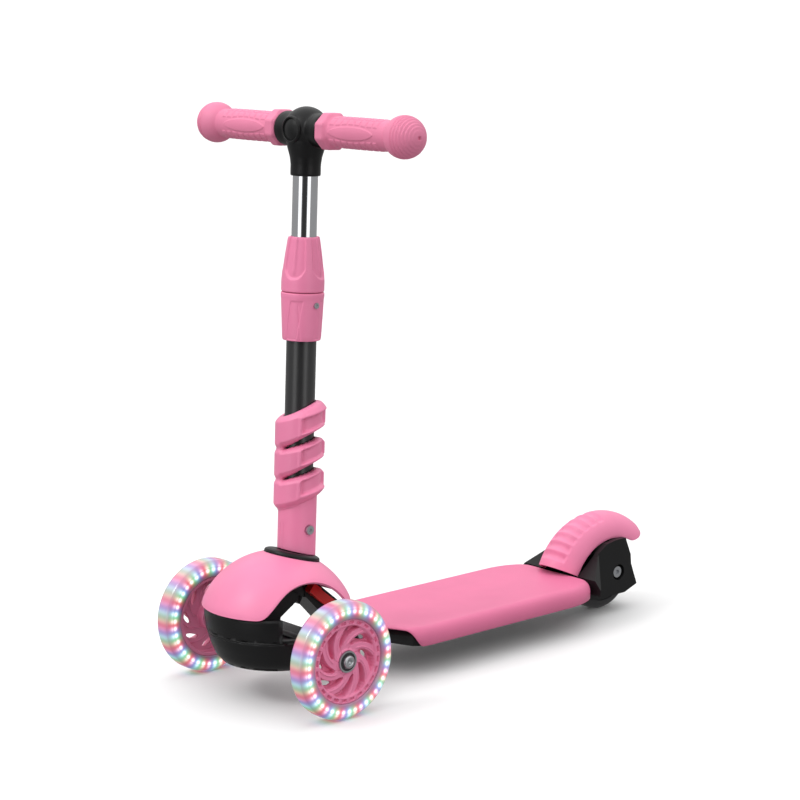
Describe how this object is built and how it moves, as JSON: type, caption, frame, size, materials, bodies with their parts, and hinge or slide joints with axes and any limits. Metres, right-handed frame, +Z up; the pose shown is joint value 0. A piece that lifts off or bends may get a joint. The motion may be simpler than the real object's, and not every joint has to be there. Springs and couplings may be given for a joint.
{
  "type": "kick scooter",
  "caption": "Folding children's kick scooter: lean-steered front wheels under a domed cover, telescopic T handlebar with ball-ended grips, flat deck and a rear wheel under a fender brake.",
  "frame": {"origin": "on the floor plane, at the middle of the whole scooter seen from above, standing on its three wheels", "axes": "+X forwards, the way the scooter rides; +Y to the rider's left, along the wheel axles; +Z up"},
  "size_m": [0.6142, 0.334, 0.5961],
  "materials": {
    "pink_plastic": "smooth moulded, semi gloss",
    "black_plastic": "fine spark texture",
    "black_paint": "powder coated satin",
    "chrome": "polished plating",
    "steel": "zinc plated",
    "black_tyre": "cast urethane, satin",
    "clear_tyre": "translucent cast urethane, glossy",
    "rubber": "matte",
    "pink_grip": "soft matte",
    "red_plastic": "smooth",
    "lights": "clear moulded"
  },
  "bodies": {
    "deck": {"deck_shell": "pink_plastic", "deck_frame": "black_plastic", "deck_screws": "steel", "rear_fork": "black_plastic", "fork_screws": "steel", "rear_axle_bolt": "steel", "rear_axle_nut": "steel", "rear_axle_spacers": "steel", "fender_pin": "steel", "fender_spring": "steel", "fold_pin": "steel"},
    "rear_wheel": {"rear_tyre": "black_tyre", "rear_hub": "black_plastic", "rear_bearings": "steel", "rear_bearing_spacer": "steel"},
    "fender": {"fender": "pink_plastic"},
    "neck": {"neck": "black_plastic", "fold_bushes": "steel", "steering_bush": "steel", "centring_rubber": "rubber", "latch_spring": "steel"},
    "latch": {"release_slider": "red_plastic", "latch_rod": "steel"},
    "carriage": {"front_chassis": "black_plastic", "front_cover": "pink_plastic", "cover_screws": "steel", "kingpin": "steel", "kingpin_washer": "steel", "stem_ring": "black_plastic", "stem_socket": "pink_plastic", "stem_bolt": "steel", "stem_nut": "steel", "spiral_cover": "pink_plastic", "lower_tube": "black_paint", "lower_collar": "pink_plastic", "collar_screw": "steel", "collet": "black_plastic", "front_left_axle": "steel", "front_left_spacers": "steel", "front_right_axle": "steel", "front_right_spacers": "steel"},
    "twist_collar": {"twist_collar": "pink_plastic"},
    "handlebar": {"slide_tube": "chrome", "tube_glide": "black_plastic", "tee_joint": "black_plastic", "tee_cap": "black_plastic", "tee_screw": "steel", "crossbar": "steel", "grip_left": "pink_grip", "grip_right": "pink_grip"},
    "front_left_wheel": {"front_left_tyre": "clear_tyre", "front_left_hub": "pink_plastic", "front_left_lights": "lights", "front_left_bearings": "steel"},
    "front_right_wheel": {"front_right_tyre": "clear_tyre", "front_right_hub": "pink_plastic", "front_right_lights": "lights", "front_right_bearings": "steel"}
  },
  "joints": [
    {"name": "fold", "type": "hinge", "parent": "deck", "child": "neck", "pos_m": [0.13859, 0, 0.05], "axis": [0, -1, 0], "range_deg": [0, 82]},
    {"name": "lean_steer", "type": "hinge", "parent": "neck", "child": "carriage", "pos_m": [0.20659, 0, 0.11], "axis": [-0.5, 0, 0.866], "range_deg": [-18, 18], "stiffness_Nm_per_rad": 60},
    {"name": "latch_release", "type": "slide", "parent": "neck", "child": "latch", "axis": [0.7799, 0, 0.6259], "range_m": [0, 0.005], "stiffness_N_per_m": 600, "springref_m": -0.004, "deforming": ["latch_spring"]},
    {"name": "twist_lock", "type": "hinge", "parent": "carriage", "child": "twist_collar", "pos_m": [0.20559, 0, 0.1], "axis": [-0.0419, 0, 0.9991], "range_deg": [0, 90]},
    {"name": "bar_height", "type": "slide", "parent": "carriage", "child": "handlebar", "axis": [-0.0419, 0, 0.9991], "range_m": [-0.055, 0.075]},
    {"name": "front_left_spin", "type": "hinge", "parent": "carriage", "child": "front_left_wheel", "pos_m": [0.23659, 0.109, 0.06], "axis": [0, 1, 0], "continuous": true},
    {"name": "front_right_spin", "type": "hinge", "parent": "carriage", "child": "front_right_wheel", "pos_m": [0.23659, -0.109, 0.06], "axis": [0, 1, 0], "continuous": true},
    {"name": "rear_spin", "type": "hinge", "parent": "deck", "child": "rear_wheel", "pos_m": [-0.24541, 0, 0.048], "axis": [0, 1, 0], "continuous": true},
    {"name": "brake", "type": "hinge", "parent": "deck", "child": "fender", "pos_m": [-0.19041, 0, 0.044], "axis": [0, -1, 0], "range_deg": [0, 5], "stiffness_Nm_per_rad": 8, "springref_deg": -3.44}
  ]
}
